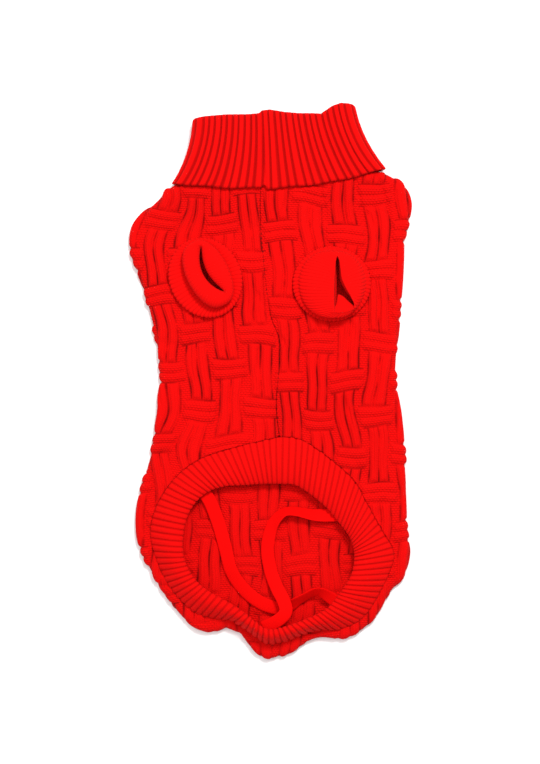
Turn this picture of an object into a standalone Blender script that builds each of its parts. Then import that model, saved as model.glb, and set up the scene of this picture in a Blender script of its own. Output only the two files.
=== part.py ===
"""A knitted dog sweater, lying flat with its belly up.

+Y runs from the tail to the collar, +X across the belly and +Z up. The sweater rests on its back panel,
and its origin is on the surface that it lies on, under the middle of its box.

One basket-weave body wraps all the way round and is seamed down the middle of the belly. A turned-down
ribbed collar, two ribbed leg sleeves, a ribbed hem ring and two elastic leg straps are sewn to it.
Sizes are millimetres until solid() turns them into metres.
"""

import math

import bmesh
import bpy
import numpy as np
from mathutils import Vector
from mathutils.geometry import delaunay_2d_cdt

# ---------------------------------------------------------------- driving sizes, millimetres
METRES = 0.001
WALL = 2.5              # knitted cloth, without its relief
SEAM_GAP = 0.3          # between pieces that are sewn together
BODY_HOLLOW = 2.4       # between the back layer and the belly layer
NECK_HOLLOW = 5.0       # inside the collar
RELIEF = 2.0            # basket blocks above their ground
COLLAR_RIB = 1.3
HEM_RIB = 1.0
SLEEVE_RIB = 0.8

# collar: a flattened tube, knitted double length and folded over at its top edge
COLLAR_TOP = (2.9, 204.6)       # middle of the top fold
COLLAR_TURN = math.radians(4.5)
COLLAR_TOP_HALF = 61.3          # half width at the fold, outside
COLLAR_LIP_HALF = 80.8          # half width at the lower edge, outside
COLLAR_LIP_DEPTH = 58.0         # fold to lower edge, at the middle
COLLAR_LIP_RISE = 8.5           # how much higher the lower edge is at its ends
COLLAR_FLARE = 1.6              # power that the width follows down the collar
TURN_OVER = 0.4                 # between the inner tube and the turned-down flap
NECK_SEAM_RISE = 6.0            # collar seam above the lower edge of the flap
NECK_HALF = 61.0                # half width at the collar seam
COLLAR_RIBS = 24                # across the front

# basket weave: columns of upright blocks (two ribs) and crosswise blocks (two bands)
COLUMN_PITCH = 23.3
BLOCK_PERIOD = 56.5
UPRIGHT_HALF = 8.0              # half width of an upright block
RIB_OFFSET = 3.9                # rib centres from the column centre
CROSS_HALF = 13.6               # half length of a crosswise block
CROSS_SPAN = 7.2                # half height of a crosswise block
BAND_OFFSET = 3.4               # band centres from the block centre
COLUMN_START = 11.6             # first column centre from the belly seam
# height of a crosswise block in the first and in the second column, left and right of the seam
CROSS_START = {-1: (-20.5, 9.0), 1: (0.5, -27.0)}

# side edge of the body, from the collar seam down the left side: x, y
LEFT_EDGE = (
    (-66.0, 149.5), (-75.0, 143.5), (-84.8, 133.6), (-98.4, 122.6), (-106.0, 110.5), (-105.6, 98.8),
    (-100.1, 84.0), (-94.0, 64.0), (-86.5, 32.0), (-82.6, 2.4), (-85.0, -16.0), (-87.4, -42.0),
    (-93.5, -66.6), (-99.6, -90.4), (-101.0, -108.3), (-97.7, -127.3), (-88.9, -146.5), (-77.7, -164.2),
)
# lobed edge of the tail, left to right: x, y
TAIL_EDGE = (
    (-66.8, -178.5), (-55.3, -187.6), (-44.1, -190.0), (-33.0, -187.0), (-22.5, -191.4), (-16.0, -200.0),
    (-4.4, -209.6), (8.2, -208.8), (19.5, -203.6), (29.0, -196.5), (39.5, -193.6), (54.6, -195.2),
    (66.5, -190.6), (78.4, -180.8),
)
# side edge of the body, up the right side to the collar seam: x, y
RIGHT_EDGE = (
    (86.0, -168.5), (93.5, -157.0), (101.6, -146.3), (105.6, -129.2), (103.6, -112.0), (101.8, -84.0),
    (102.2, -55.9), (99.0, -28.0), (95.4, -2.0), (96.2, 24.0), (98.6, 60.0), (100.6, 92.0),
    (101.4, 108.0), (105.2, 123.0), (106.0, 137.0), (101.5, 148.8), (90.6, 156.7), (79.0, 160.8),
)
# belly seam, from the collar to the hem: x, y
BELLY_SEAM = (
    (-6.0, 160.0), (-7.5, 131.0), (-5.0, 92.0), (0.0, 52.5), (7.5, 28.0), (4.8, -16.0), (7.2, -43.5),
)

# hem ring, clockwise from the belly seam: outer edge x, y, inner edge x, y, and the inner edge's height
HEM_SECTIONS = (
    (7, -42, 7, -76, 10.0), (21, -43, 19, -77, 10.0), (36, -51, 31, -84, 10.0), (50, -62, 43, -94, 10.5),
    (64, -75, 53, -106, 11.0), (73, -91, 60, -115, 11.5), (83, -109, 64, -124, 12.0),
    (94, -129, 65, -134, 12.5), (91, -144, 63, -145, 13.0), (84, -159, 57, -156, 14.0),
    (75, -174, 51, -164, 15.0), (65, -183, 45, -171, 16.0), (51, -188, 37, -176, 17.0),
    (38, -188, 28, -180, 18.0), (25, -191, 18, -184, 19.0), (12, -196, 8, -187, 19.5),
    (-2, -198, -2, -188, 19.5), (-13, -191, -11, -183, 19.0), (-28, -181, -21, -175, 18.0),
    (-43, -179, -33, -167, 17.0), (-58, -174, -46, -160, 16.0), (-71, -162, -56, -152, 15.0),
    (-81, -147, -63, -142, 14.5), (-88, -130, -67, -130, 14.0), (-91, -113, -67, -116, 13.5),
    (-87, -96, -64, -102, 13.0), (-78, -80, -57, -90, 12.0), (-66, -67, -47, -82, 11.0),
    (-50, -57, -35, -78, 10.5), (-32, -51, -20, -77, 10.0), (-12, -46, -6, -76, 10.0),
)
HEM_RIBS = 96
HEM_ARCH = 3.0                  # how far the ring bulges between its edges

# sleeves: a row for each ring of the wall, from the leg hole up the outside, over the cuff and back down.
# height, half length, half width, shift x, shift y, taper of the width along the length, rib height
SLEEVE_RINGS = {
    "sleeve_left": (
        (5.2, 31.0, 27.0, -49.0, 79.5, 0.0, 0.0),
        (9.8, 31.0, 27.0, -49.0, 79.5, 0.0, 0.0),
        (11.8, 32.2, 28.2, -49.0, 79.5, 0.0, 1.0),
        (14.2, 29.0, 23.5, -48.0, 80.0, 0.0, 1.0),
        (14.6, 27.0, 16.2, -44.5, 81.0, 0.0, 0.3),
        (18.6, 27.2, 15.6, -44.0, 81.4, 0.0, 0.0),
        (22.6, 23.0, 9.6, -43.6, 81.6, 0.0, 0.0),
        (23.2, 19.6, 4.6, -43.4, 82.0, 0.2, 0.0),
        (21.0, 18.6, 3.8, -43.4, 82.0, 0.2, 0.0),
        (15.0, 24.0, 12.6, -44.5, 81.4, 0.0, 0.0),
        (10.6, 28.6, 24.4, -49.0, 79.5, 0.0, 0.0),
        (5.2, 28.4, 24.4, -49.0, 79.5, 0.0, 0.0),
    ),
    "sleeve_right": (
        (5.2, 29.0, 30.0, 47.0, 74.0, 0.0, 0.0),
        (9.8, 29.0, 30.0, 47.0, 74.0, 0.0, 0.0),
        (11.8, 30.2, 31.2, 47.0, 74.0, 0.0, 1.0),
        (15.0, 27.0, 26.5, 47.6, 73.0, 0.0, 1.0),
        (19.0, 24.6, 19.0, 49.2, 72.0, 0.0, 0.8),
        (21.6, 21.4, 10.2, 53.0, 72.6, 0.5, 0.2),
        (20.6, 20.0, 6.6, 54.4, 73.4, 0.75, 0.0),
        (17.6, 20.0, 6.8, 54.4, 73.4, 0.6, 0.0),
        (14.0, 24.0, 18.0, 50.0, 73.2, 0.0, 0.0),
        (10.6, 26.6, 27.4, 47.0, 74.0, 0.0, 0.0),
        (5.2, 26.4, 27.4, 47.0, 74.0, 0.0, 0.0),
    ),
}
SLEEVE_TURN = {"sleeve_left": 117.0, "sleeve_right": 90.0}   # direction of the length, degrees
SLEEVE_RIBS = 34

# leg straps, each from where it is sewn under the ring on the belly side to the ring's tail side:
# x, y, height of the middle, and how far the strap stands up on its edge, degrees
STRAP_ROUTES = {
    "strap_left": (
        (-58, -73, 8.35, 0), (-50, -84, 7.9, 0), (-45, -92, 7.2, 0), (-38, -110, 5.9, 4), (-32, -126, 5.8, 8),
        (-26.5, -143.5, 5.8, 12), (-18.5, -156, 5.8, 8), (-7.5, -166, 5.6, 0), (3.5, -171, 5.6, 0),
        (13.5, -169.5, 7.0, 24), (22, -164, 10.0, 52), (35.5, -159, 11.6, 46), (45, -163, 11.3, 26),
        (54, -170, 11.6, 6),
    ),
    "strap_right": (
        (59, -100, 9.4, 0), (47.5, -100.5, 8.2, 0), (31, -102, 6.6, 6), (16.5, -100.8, 6.6, 22),
        (5, -105.5, 6.6, 28), (-2, -115, 6.4, 20), (-3.5, -127.5, 6.0, 12), (-0.5, -143.5, 6.2, 6),
        (5, -156, 8.8, 0), (7, -165, 11.8, 0), (4, -173, 13.6, 0), (-2, -179, 13.8, 0), (-8.5, -187, 13.0, 0),
    ),
}
STRAP_WIDTH = 10.0
STRAP_THICKNESS = 1.2

EDGE_STEP = 6.0                 # spacing of the points along the body's folded edge
FOLD_ANGLES = (90.0, 55.0, 20.0, -25.0, -90.0)      # rings of the outer fold
INNER_FOLD_ANGLES = (90.0, 0.0, -90.0)

RED = (0.72, 0.012, 0.010, 1.0)
STRAP_RED = (0.80, 0.010, 0.008, 1.0)


# ---------------------------------------------------------------- curves
def smooth(points, closed=False, per_span=12):
    """Catmull-Rom curve through the rows of points, as a dense polyline with the same columns."""
    p = np.asarray(points, float)
    if closed:
        p = np.vstack([p[-1], p, p[0], p[1]])
    else:
        p = np.vstack([2 * p[0] - p[1], p, 2 * p[-1] - p[-2]])
    t = np.linspace(0.0, 1.0, per_span, endpoint=False)[:, None]
    spans = []
    for a, b, c, d in zip(p[:-3], p[1:-2], p[2:-1], p[3:]):
        spans.append(0.5 * (2 * b + (c - a) * t + (2 * a - 5 * b + 4 * c - d) * t**2
                            + (3 * b - a - 3 * c + d) * t**3))
    if not closed:
        spans.append(p[-2][None, :])
    return np.vstack(spans)


def spaced(curve, count, closed=False):
    """The curve read again at equal distances in plan."""
    if closed:
        curve = np.vstack([curve, curve[0]])
    run = np.concatenate([[0.0], np.cumsum(np.hypot(*np.diff(curve[:, :2], axis=0).T))])
    at = np.linspace(0.0, run[-1], count, endpoint=not closed)
    return np.column_stack([np.interp(at, run, column) for column in curve.T])


def length_of(curve):
    return np.hypot(*np.diff(curve[:, :2], axis=0).T).sum()


def inward_normals(line):
    """Unit normals to the left of an open plan line, which runs counter-clockwise round the body."""
    along = np.gradient(line[:, :2], axis=0)
    along /= np.hypot(*along.T)[:, None]
    return np.column_stack([-along[:, 1], along[:, 0]])


def ease(t):
    """Smooth step from 0 to 1."""
    t = np.clip(t, 0.0, 1.0)
    return t * t * (3.0 - 2.0 * t)


def inside(points, loop):
    """Which points lie inside a closed plan loop, by counting the edges to their right."""
    x, y = points[:, 0][:, None], points[:, 1][:, None]
    x0, y0 = loop[:, 0][None, :], loop[:, 1][None, :]
    x1, y1 = np.roll(loop[:, 0], -1)[None, :], np.roll(loop[:, 1], -1)[None, :]
    spans = (y0 > y) != (y1 > y)
    with np.errstate(divide="ignore", invalid="ignore"):
        crossing = x0 + (y - y0) * (x1 - x0) / (y1 - y0)
    return (spans & (x < crossing)).sum(axis=1) % 2 == 1


def distance_to(points, loop):
    """Shortest distance from each point to a closed plan loop."""
    a, b = loop[None, :, :2], np.roll(loop[:, :2], -1, axis=0)[None, :, :]
    p, ab = points[:, None, :2], b - a
    t = np.clip(((p - a) * ab).sum(-1) / np.maximum((ab * ab).sum(-1), 1e-9), 0.0, 1.0)
    return np.sqrt((((a + ab * t[..., None]) - p) ** 2).sum(-1)).min(axis=1)


# ---------------------------------------------------------------- collar frame
def to_collar(x, y):
    """Plan place seen from the middle of the collar's fold: across, and up (negative is down)."""
    dx, dy = x - COLLAR_TOP[0], y - COLLAR_TOP[1]
    cos, sin = math.cos(COLLAR_TURN), math.sin(COLLAR_TURN)
    return dx * cos + dy * sin, dy * cos - dx * sin


def from_collar(across, up):
    cos, sin = math.cos(COLLAR_TURN), math.sin(COLLAR_TURN)
    return COLLAR_TOP[0] + across * cos - up * sin, COLLAR_TOP[1] + across * sin + up * cos


def lip_line(across):
    """Height of the flap's lower edge in the collar's frame: an arc, higher at its ends."""
    return -COLLAR_LIP_DEPTH + COLLAR_LIP_RISE * (across / COLLAR_LIP_HALF) ** 2


def under_flap(x, y):
    """How far a plan place lies above the flap's lower edge; below it, the value is negative."""
    across, up = to_collar(x, y)
    return up - lip_line(across)


# ---------------------------------------------------------------- heights of the cloth layers
NECK_FLOOR = WALL + TURN_OVER                           # the back layer clears the flap under it
BELLY_FLOOR = WALL + BODY_HOLLOW                        # underside of the belly layer
NECK_BELLY_FLOOR = NECK_FLOOR + WALL + NECK_HOLLOW      # the same at the collar seam
COLLAR_MIDDLE = NECK_FLOOR + WALL + NECK_HOLLOW / 2.0   # mid height of the collar's tube


def back_height(x, y):
    """Underside of the back layer: on the surface, and lifted where it runs over the flap."""
    return NECK_FLOOR * ease((under_flap(x, y) + 26.0) / 24.0)


def belly_height(x, y):
    """Underside of the belly layer."""
    rise = ease((under_flap(x, y) + 34.0) / 38.0)
    return BELLY_FLOOR + (NECK_BELLY_FLOOR - BELLY_FLOOR) * rise


def fold_radius(x, y):
    """Outer radius of the folded side, half the height of both layers."""
    return (belly_height(x, y) + WALL - back_height(x, y)) / 2.0


def back_top(x, y):
    return back_height(x, y) + WALL


def seam_x(y):
    """The belly seam's x at a height down the belly."""
    table = np.array(BELLY_SEAM)[::-1]
    return np.interp(y, table[:, 1], table[:, 0])


def bump(offset, half):
    """Rounded ridge: 1 on its centre line, 0 at half its width and beyond."""
    return np.sqrt(np.clip(1.0 - (offset / half) ** 2, 0.0, None))


def basket(x, y):
    """Relief of the basket weave: upright pairs of ribs, and crosswise pairs of bands between them."""
    from_seam = x - seam_x(y) * np.exp(-np.abs(x) / 40.0)
    side = np.where(from_seam < 0.0, -1, 1)
    run = (np.abs(from_seam) - COLUMN_START) / COLUMN_PITCH
    relief = np.zeros_like(run)
    for step in (-1, 0, 1):
        column = np.floor(run + 0.5) + step
        dx = (run - column) * COLUMN_PITCH
        odd = np.mod(column, 2.0) > 0.5
        start = np.where(side < 0, np.where(odd, CROSS_START[-1][1], CROSS_START[-1][0]),
                         np.where(odd, CROSS_START[1][1], CROSS_START[1][0]))
        dy = np.mod(y - start + BLOCK_PERIOD / 2.0, BLOCK_PERIOD) - BLOCK_PERIOD / 2.0
        ribs = np.maximum(bump(dx - RIB_OFFSET, 4.2), bump(dx + RIB_OFFSET, 4.2))
        upright = ribs * (np.abs(dx) < UPRIGHT_HALF + 0.2) * (np.abs(dy) > CROSS_SPAN + 0.6)
        bands = np.maximum(bump(dy - BAND_OFFSET, 3.8), bump(dy + BAND_OFFSET, 3.8))
        across = bands * (np.abs(dx) < CROSS_HALF) * (np.abs(dy) < CROSS_SPAN)
        relief = np.maximum(relief, np.where(column >= 0, np.maximum(upright, across), 0.0))
    return RELIEF * relief * ease(-(under_flap(x, y) + 2.0) / 10.0)


def belly_top(x, y):
    """Upper face of the belly layer, with its relief."""
    return belly_height(x, y) + WALL + basket(x, y)


def with_height(plan, height):
    """Plan points placed in space on a height function."""
    return np.column_stack([plan, height(plan[:, 0], plan[:, 1])])


# ---------------------------------------------------------------- solids
def material(name, colour, roughness):
    finish = bpy.data.materials.new(name)
    finish.use_nodes = True
    shader = finish.node_tree.nodes["Principled BSDF"]
    shader.inputs["Base Color"].default_value = colour
    shader.inputs["Roughness"].default_value = roughness
    shader.inputs["Metallic"].default_value = 0.0
    return finish


def solid(name, points, faces, finish):
    """One object from points in millimetres, with the points that patches share joined."""
    mesh = bpy.data.meshes.new(name)
    mesh.from_pydata((np.asarray(points) * METRES).tolist(), [], faces)
    skin = bmesh.new()
    skin.from_mesh(mesh)
    bmesh.ops.recalc_face_normals(skin, faces=skin.faces)
    skin.to_mesh(mesh)
    skin.free()
    mesh.materials.append(finish)
    mesh.shade_smooth()
    mesh.set_sharp_from_angle(angle=math.radians(50.0))
    item = bpy.data.objects.new(name, mesh)
    bpy.context.scene.collection.objects.link(item)
    return item


def ring_solid(name, rings, finish):
    """A closed wall from closed rings: rings[i, j] is point j round the piece on line i of its wall."""
    lines, around = rings.shape[:2]
    number = np.arange(lines * around).reshape(lines, around)
    corners = np.stack([number, np.roll(number, -1, 1), np.roll(np.roll(number, -1, 0), -1, 1),
                        np.roll(number, -1, 0)], axis=-1)
    return solid(name, rings.reshape(-1, 3), corners.reshape(-1, 4).tolist(), finish)


class Shell:
    """Patches and strips in space that share their edge points, gathered into one closed skin."""

    def __init__(self):
        self.numbers = {}
        self.points = []
        self.faces = []

    def number(self, point):
        key = tuple(round(float(c), 4) for c in point)
        if key not in self.numbers:
            self.numbers[key] = len(self.points)
            self.points.append(key)
        return self.numbers[key]

    def face(self, corners):
        numbers = [self.number(c) for c in corners]
        if len(set(numbers)) == len(numbers):
            self.faces.append(numbers)

    def strip(self, first, second):
        """Faces between two lines with the same number of points."""
        for i in range(len(first) - 1):
            self.face([first[i], first[i + 1], second[i + 1]])
            self.face([first[i], second[i + 1], second[i]])

    def patch(self, loop, holes, fill, height):
        """Triangles over a plan region with holes: height(x, y) places the fill points, and the loops
        already have their heights."""
        loops = [loop] + holes
        edge_points = np.vstack(loops)
        plan = np.vstack([edge_points[:, :2], fill])
        space = np.vstack([edge_points, with_height(fill, height)])
        edges, start = [], 0
        for each in loops:
            n = len(each)
            edges += [(start + i, start + (i + 1) % n) for i in range(n)]
            start += n
        result = delaunay_2d_cdt([Vector(p) for p in plan.tolist()], edges, [], 0, 1e-6, True)
        source = [ids[0] for ids in result[3]]
        triangles = np.array([[source[i] for i in f] for f in result[2]])
        middle = plan[triangles].mean(axis=1)
        keep = inside(middle, loop)
        for hole in holes:
            keep &= ~inside(middle, hole)
        for corners in triangles[keep]:
            self.face(space[corners])


# ---------------------------------------------------------------- body
def body_edge():
    """Silhouette of the body, from the left end of the collar seam round the tail to the right end."""
    neck_up = lip_line(NECK_HALF) + NECK_SEAM_RISE
    left_end, right_end = from_collar(-NECK_HALF, neck_up), from_collar(NECK_HALF, neck_up)
    line = smooth((left_end,) + LEFT_EDGE + TAIL_EDGE + RIGHT_EDGE + (right_end,))
    return spaced(line, int(length_of(line) / EDGE_STEP))


def neck_line(start, end, count):
    """Points along the collar seam between two plan places, without the ends."""
    a0, a1 = to_collar(*start)[0], to_collar(*end)[0]
    across = np.linspace(a0, a1, count + 2)[1:-1]
    return np.column_stack(from_collar(across, lip_line(across) + NECK_SEAM_RISE))


def hem_outline(grow, count):
    """The hem ring's outer edge in plan, moved out by grow."""
    edge = spaced(smooth(np.array(HEM_SECTIONS)[:, :2], closed=True), count, closed=True)
    along = np.roll(edge, -1, axis=0) - np.roll(edge, 1, axis=0)
    along /= np.hypot(*along.T)[:, None]
    return edge + grow * np.column_stack([-along[:, 1], along[:, 0]])


def sleeve_ellipse(name, row, count, grow=0.0):
    """Plan points of one ring of a sleeve; taper narrows it towards the far end of its length."""
    height, half_long, half_wide, x, y, taper, rib = row
    turn = math.radians(SLEEVE_TURN[name])
    angle = np.linspace(0.0, 2.0 * math.pi, count, endpoint=False)
    along = (half_long + grow) * np.cos(angle)
    across = (half_wide + grow) * np.sin(angle) * (1.0 - taper * np.cos(angle))
    return np.column_stack([x + along * math.cos(turn) - across * math.sin(turn),
                            y + along * math.sin(turn) + across * math.cos(turn)])


def lattice(region, holes, clear):
    """Plan points on the knit's own lines: ribs, grooves, bands and the ground between them."""
    columns = np.array([-12.0, -8.0, -RIB_OFFSET, 0.0, RIB_OFFSET, 8.0])
    rows = np.array([-14.1, -7.4, -BAND_OFFSET, 0.0, BAND_OFFSET, 7.4])
    found = []
    for side in (-1, 1):
        start = CROSS_START[side][0]
        for column in range(5):
            centre = COLUMN_START + column * COLUMN_PITCH
            for offset in columns:
                for step in range(-9, 7):
                    y = start + step * BLOCK_PERIOD / 2.0 + rows
                    away = np.full(len(y), side * (centre + offset))
                    x = away + seam_x(y) * np.exp(-np.abs(away) / 40.0)
                    found.append(np.column_stack([x, y]))
    points = np.vstack(found)
    keep = inside(points, region) & (distance_to(points, region) > clear)
    for hole in holes:
        keep &= ~inside(points, hole) & (distance_to(points, hole) > clear)
    return points[keep]


def sparse(region, holes, pitch, clear):
    """A coarse square lattice for the plain faces."""
    x, y = np.meshgrid(np.arange(-110.0, 111.0, pitch), np.arange(-215.0, 216.0, pitch))
    points = np.column_stack([x.ravel(), y.ravel()])
    keep = inside(points, region) & (distance_to(points, region) > clear)
    for hole in holes:
        keep &= ~inside(points, hole) & (distance_to(points, hole) > clear)
    return points[keep]


def fold_ring(edge, normals, angle, wall, relief):
    """A line round the folded edge: a circle's point at an angle, from 90 on top to -90 underneath."""
    seat = edge + normals * fold_radius(*edge.T)[:, None]
    outer = fold_radius(*seat.T)
    radius = outer - wall
    turn = math.radians(angle)
    unrolled = seat - normals * (outer * (math.pi / 2.0 - turn))[:, None]
    raised = basket(*unrolled.T) * ease((angle + 30.0) / 60.0) if relief else 0.0
    reach = radius + raised
    plan = edge + normals * (fold_radius(*edge.T) - reach * math.cos(turn))[:, None]
    height = back_height(*seat.T) + outer + reach * math.sin(turn)
    return np.column_stack([plan, height])


def make_body(finish):
    shell = Shell()
    edge = body_edge()
    normals = inward_normals(edge)
    outer = [fold_ring(edge, normals, angle, 0.0, True) for angle in FOLD_ANGLES]
    inner = [fold_ring(edge, normals, angle, WALL, False) for angle in INNER_FOLD_ANGLES]
    seat = outer[-1][:, :2]

    # the belly layer's own edge: neck, seam and hem, from the right end of the fold to the left end
    half_gap = SEAM_GAP / 2.0
    seam = spaced(smooth(BELLY_SEAM), 40)
    seam = seam[(under_flap(*seam.T) < NECK_SEAM_RISE - 2.0) & (seam[:, 1] > HEM_SECTIONS[0][1] + 3.0)]
    seam_across = to_collar(*seam[0])[0]
    seam_top = np.array(from_collar(seam_across, lip_line(seam_across) + NECK_SEAM_RISE))
    hem = hem_outline(SEAM_GAP, 110)
    hem = np.roll(hem, -int(np.argmin(np.hypot(hem[:, 0] - seam[-1][0], hem[:, 1] + 42.0))), axis=0)
    left_seam = np.vstack([seam_top, seam]) - (half_gap, 0.0)
    right_seam = np.vstack([seam_top, seam]) + (half_gap, 0.0)
    open_hem = hem[1:-1]
    belly_edge = np.vstack([
        seat[-1:], neck_line(seat[-1], right_seam[0], 9), right_seam,
        open_hem, left_seam[::-1], neck_line(left_seam[0], seat[0], 9), seat[:1],
    ])
    region = np.vstack([seat, belly_edge[1:-1]])
    holes = [sleeve_ellipse(name, rows[0], 30, grow=SEAM_GAP + 0.15) for name, rows in SLEEVE_RINGS.items()]

    top_edge, under_edge = with_height(belly_edge, belly_top), with_height(belly_edge, belly_height)
    top_edge[0], top_edge[-1] = outer[0][-1], outer[0][0]
    under_edge[0], under_edge[-1] = inner[0][-1], inner[0][0]
    top_holes = [with_height(hole, belly_top) for hole in holes]
    under_holes = [with_height(hole, belly_height) for hole in holes]
    fine = lattice(region, holes, 1.6)
    coarse = sparse(region, holes, 18.0, 6.0)
    shell.patch(np.vstack([outer[0], top_edge[1:-1]]), top_holes, fine, belly_top)
    shell.patch(np.vstack([inner[0], under_edge[1:-1]]), under_holes, coarse, belly_height)
    shell.strip(top_edge, under_edge)
    for upper, lower in zip(top_holes, under_holes):
        shell.strip(np.vstack([upper, upper[:1]]), np.vstack([lower, lower[:1]]))

    # the folded sides and tail
    for upper, lower in zip(outer, outer[1:]):
        shell.strip(lower, upper)
    for upper, lower in zip(inner, inner[1:]):
        shell.strip(upper, lower)

    # the back layer, flat where it rests, with its own neck edge
    neck = neck_line(seat[-1], seat[0], 20)
    ends = np.vstack([seat[-1:], neck, seat[:1]])
    bottom_edge, floor_edge = with_height(ends, back_height), with_height(ends, back_top)
    bottom_edge[0], bottom_edge[-1] = outer[-1][-1], outer[-1][0]
    floor_edge[0], floor_edge[-1] = inner[-1][-1], inner[-1][0]
    back_region = np.vstack([seat, neck])
    near_neck = sparse(back_region, [], 9.0, 4.0)
    near_neck = near_neck[under_flap(*near_neck.T) > -34.0]
    shell.patch(np.vstack([outer[-1], bottom_edge[1:-1]]), [], near_neck, back_height)
    shell.patch(np.vstack([inner[-1], floor_edge[1:-1]]), [], near_neck, back_top)
    shell.strip(floor_edge, bottom_edge)

    # end faces of the two folds at the collar seam
    for end in (0, -1):
        outline = [ring[end] for ring in outer] + [ring[end] for ring in inner][::-1]
        middle = np.mean([inner[1][end], outer[2][end]], axis=0)
        for a, b in zip(outline, outline[1:] + outline[:1]):
            shell.face([middle, a, b])
    return solid("body", shell.points, shell.faces, finish)


# ---------------------------------------------------------------- collar
def collar_ring(depth_of, half_of, bulge, rib):
    """One closed line of the collar: a flat front and back joined by half circles of radius bulge.

    depth_of(across) is its place up the collar and half_of its half width at the outside of the bend."""
    samples = COLLAR_RIBS * 3
    straight = half_of - bulge
    front = np.linspace(straight, -straight, samples + 1)
    groove = (np.arange(samples + 1) % 3 != 0) * rib
    left = np.radians(np.linspace(90.0, 270.0, 8)[1:-1])
    back = np.linspace(-straight, straight, 11)
    right = np.radians(np.linspace(-90.0, 90.0, 8)[1:-1])
    side_rib = rib * 0.5
    across = np.concatenate([front, -straight + (bulge + side_rib) * np.cos(left), back,
                             straight + (bulge + side_rib) * np.cos(right)])
    up_down = np.concatenate([bulge + groove, (bulge + side_rib) * np.sin(left),
                              np.full(len(back), -bulge), (bulge + side_rib) * np.sin(right)])
    up_down = np.maximum(up_down, -bulge)
    x, y = from_collar(across, depth_of(np.clip(across, -half_of, half_of)))
    return np.column_stack([x, y, COLLAR_MIDDLE + up_down])


def make_collar(finish):
    hollow = NECK_HOLLOW / 2.0
    tube = hollow + WALL
    flap_in = tube + TURN_OVER
    flap_out = flap_in + WALL
    inner_half = COLLAR_TOP_HALF - flap_out + hollow

    def flap_half(depth):
        """Outer half width of the flap at a depth below the fold."""
        share = depth / (COLLAR_LIP_DEPTH - COLLAR_LIP_RISE)
        return COLLAR_TOP_HALF + (COLLAR_LIP_HALF - COLLAR_TOP_HALF) * share**COLLAR_FLARE

    def at(share):
        """A share of the way from the fold to the lower edge."""
        return lambda across: share * lip_line(across)

    def level(up):
        """The same height all the way across."""
        return lambda across: np.full_like(across, up)

    def seam(across):
        return lip_line(across) + NECK_SEAM_RISE + SEAM_GAP

    depth = COLLAR_LIP_DEPTH - COLLAR_LIP_RISE
    fold = WALL + TURN_OVER / 2.0
    rings = [
        collar_ring(seam, NECK_HALF - WALL, hollow, 0.0),
        collar_ring(level(-fold), inner_half, hollow, 0.0),
        collar_ring(level(-fold * 0.3), inner_half + 0.8, hollow + 0.8, 0.0),
        collar_ring(level(0.0), inner_half + fold, hollow + fold, COLLAR_RIB * 0.5),
        collar_ring(level(-fold * 0.5), COLLAR_TOP_HALF - 0.3, flap_out - 0.2, COLLAR_RIB),
        collar_ring(at(0.12), flap_half(depth * 0.12), flap_out, COLLAR_RIB),
        collar_ring(at(0.55), flap_half(depth * 0.55), flap_out, COLLAR_RIB),
        collar_ring(at(1.0), flap_half(depth), flap_out, COLLAR_RIB),
        collar_ring(at(1.0), flap_half(depth) - WALL, flap_in, 0.0),
        collar_ring(at(0.5), flap_half(depth * 0.5) - WALL, flap_in, 0.0),
        collar_ring(level(-fold), inner_half + WALL + TURN_OVER, flap_in, 0.0),
        collar_ring(level(-fold), inner_half + WALL, tube, 0.0),
        collar_ring(seam, NECK_HALF, tube, 0.0),
    ]
    return ring_solid("collar", np.array(rings), finish)


# ---------------------------------------------------------------- hem ring
def make_hem_band(finish):
    around = 2 * HEM_RIBS
    table = smooth(HEM_SECTIONS, closed=True)
    sections = spaced(table, around, closed=True)
    outer = hem_outline(-SEAM_GAP / 2.0, around)
    inner, top = sections[:, 2:4], sections[:, 4]
    start = BELLY_FLOOR + WALL / 2.0
    crest = (np.arange(around) % 2) * HEM_RIB

    def centre(share):
        height = start + (top - start) * ease(share) ** 0.8 + HEM_ARCH * 4.0 * share * (1.0 - share)
        return np.column_stack([outer + (inner - outer) * share, height])

    def offset(share, amount):
        """The centre surface moved along its own normal; upright at the outer edge."""
        here = centre(share)
        if share == 0.0:
            return here + np.column_stack([np.zeros((around, 2)), amount])
        slope = centre(min(share + 0.02, 1.0)) - centre(share - 0.02)
        plan = inner - outer
        plan /= np.hypot(*plan.T)[:, None]
        run = np.hypot(slope[:, 0], slope[:, 1])
        size = np.hypot(run, slope[:, 2])
        normal = np.column_stack([plan * (-slope[:, 2] / size)[:, None], run / size])
        return here + normal * amount[:, None]

    half = np.full(around, WALL / 2.0)
    rings = [offset(share, half + crest) for share in (0.0, 0.3, 0.7, 1.0)]
    rings += [offset(share, -half) for share in (1.0, 0.5, 0.0)]
    return ring_solid("hem_band", np.array(rings)[::-1], finish)


# ---------------------------------------------------------------- sleeves
def make_sleeve(name, finish):
    around = 2 * SLEEVE_RIBS
    crest = (np.arange(around) % 2) * SLEEVE_RIB
    rings = []
    for row in SLEEVE_RINGS[name]:
        plan = sleeve_ellipse(name, row, around, grow=crest * row[6])
        rings.append(np.column_stack([plan, np.full(around, row[0])]))
    return ring_solid(name, np.array(rings), finish)


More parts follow.
